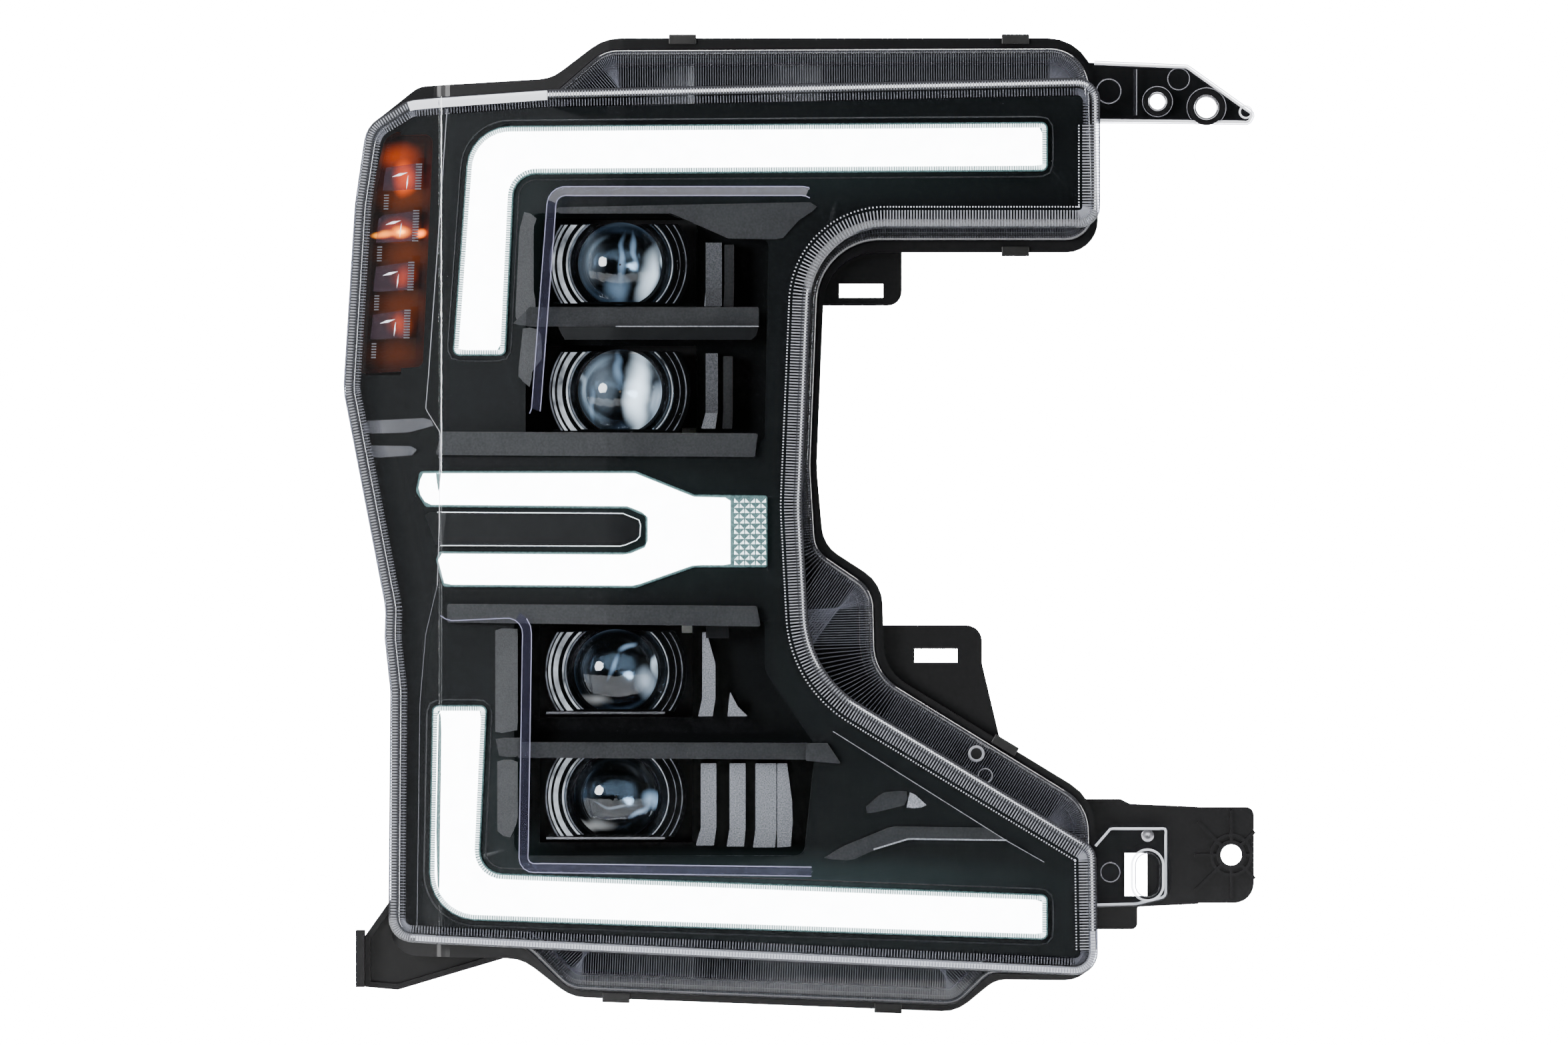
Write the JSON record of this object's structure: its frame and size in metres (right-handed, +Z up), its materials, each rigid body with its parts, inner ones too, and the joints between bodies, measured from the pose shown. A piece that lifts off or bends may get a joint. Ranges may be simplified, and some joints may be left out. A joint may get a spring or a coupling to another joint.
{
  "type": "vehicle headlight assembly",
  "caption": "Clear-fronted lamp in a C shape with lit white bars, projector lenses on tilting carriers, an amber side marker and fixing brackets.",
  "frame": {"origin": "centre of the upper bolt hole at the front rim of its boss", "axes": "+Z up as fitted, -Y the way the lamp faces, +X towards the vehicle's centre"},
  "size_m": [0.4669, 0.2006, 0.5003],
  "materials": {
    "lens_clear": "clear polycarbonate with fine flutes round the edge",
    "housing_black": "fine-grained black",
    "bezel_black": "satin black",
    "trim_dark": "satin dark grey",
    "trim_grey": "grained silver grey",
    "diffuser_white": "opal, lit from behind",
    "tray_white": "white reflector",
    "board_green": "solder mask",
    "board_copper": "copper-core board",
    "marker_amber": "amber, clear",
    "marker_dark": "satin",
    "projector_glass": "polished",
    "shroud_chrome": "dark chrome-like gloss",
    "projector_black": "satin",
    "driver_alu": "cast and machined",
    "carrier_steel": "black e-coat",
    "screw_steel": "zinc plated",
    "nylon_white": "moulded nylon",
    "seal_black": "foam and sealant",
    "rubber_black": "smooth",
    "socket_black": "glass-filled nylon",
    "clip_black": "black spring steel",
    "wire_black": "insulated lead"
  },
  "bodies": {
    "lamp": {"front_lens": "lens_clear", "lens_seal": "seal_black", "rear_housing": "housing_black", "bezel": "bezel_black", "shelf_trims": "trim_dark", "trim_slats": "trim_grey", "upper_diffuser": "diffuser_white", "lower_diffuser": "diffuser_white", "blade_diffuser": "diffuser_white", "upper_tray": "tray_white", "lower_tray": "tray_white", "blade_tray": "tray_white", "upper_led_board": "board_green", "lower_led_board": "board_green", "blade_led_board": "board_green", "marker_lens": "marker_amber", "marker_reflector": "marker_dark", "marker_led_board": "board_green", "lower_bracket": "housing_black", "corner_bracket": "housing_black", "vent_caps": "rubber_black", "wiring_socket": "socket_black", "driver_module": "driver_alu", "service_cover": "housing_black", "cover_seal": "seal_black", "case_screws": "screw_steel", "lens_clips": "clip_black", "pivot_pins": "screw_steel", "adjuster_seals": "rubber_black", "wire_harness": "wire_black"},
    "upper_aim": {"upper_carrier": "carrier_steel", "upper_carrier_inserts": "nylon_white", "upper_projector_screws": "screw_steel", "projector_lens_1": "projector_glass", "lens_shroud_1": "shroud_chrome", "projector_body_1": "projector_black", "led_board_1": "board_copper", "heatsink_1": "driver_alu", "projector_lens_2": "projector_glass", "lens_shroud_2": "shroud_chrome", "projector_body_2": "projector_black", "led_board_2": "board_copper", "heatsink_2": "driver_alu"},
    "lower_aim": {"lower_carrier": "carrier_steel", "lower_carrier_inserts": "nylon_white", "lower_projector_screws": "screw_steel", "projector_lens_3": "projector_glass", "lens_shroud_3": "shroud_chrome", "projector_body_3": "projector_black", "led_board_3": "board_copper", "heatsink_3": "driver_alu", "projector_lens_4": "projector_glass", "lens_shroud_4": "shroud_chrome", "projector_body_4": "projector_black", "led_board_4": "board_copper", "heatsink_4": "driver_alu"},
    "upper_slide": {"upper_adjuster_slider": "nylon_white"},
    "lower_slide": {"lower_adjuster_slider": "nylon_white"},
    "upper_screw": {"upper_adjuster_screw": "screw_steel"},
    "lower_screw": {"lower_adjuster_screw": "screw_steel"}
  },
  "joints": [
    {"name": "upper_tilt", "type": "hinge", "parent": "lamp", "child": "upper_aim", "pos_m": [-0.2995, 0.044, -0.112], "axis": [1, 0, 0], "range_deg": [-2.5, 2.5]},
    {"name": "upper_slider", "type": "slide", "parent": "lamp", "child": "upper_slide", "axis": [0, 1, 0], "range_m": [-0.0027, 0.0027]},
    {"name": "upper_adjuster", "type": "hinge", "parent": "lamp", "child": "upper_screw", "pos_m": [-0.2595, 0.114, -0.172], "axis": [0, 1, 0], "range_deg": [-630, 630]},
    {"name": "lower_tilt", "type": "hinge", "parent": "lamp", "child": "lower_aim", "pos_m": [-0.2995, 0.044, -0.32], "axis": [1, 0, 0], "range_deg": [-2.5, 2.5]},
    {"name": "lower_slider", "type": "slide", "parent": "lamp", "child": "lower_slide", "axis": [0, 1, 0], "range_m": [-0.0027, 0.0027]},
    {"name": "lower_adjuster", "type": "hinge", "parent": "lamp", "child": "lower_screw", "pos_m": [-0.2595, 0.114, -0.26], "axis": [0, 1, 0], "range_deg": [-630, 630]}
  ],
  "couplings": [
    {"joint": "upper_slider", "follows": "upper_tilt", "m_per_rad": 0.06},
    {"joint": "upper_adjuster", "follows": "upper_tilt", "ratio": -251.33},
    {"joint": "lower_slider", "follows": "lower_tilt", "m_per_rad": -0.06},
    {"joint": "lower_adjuster", "follows": "lower_tilt", "ratio": 251.33}
  ]
}
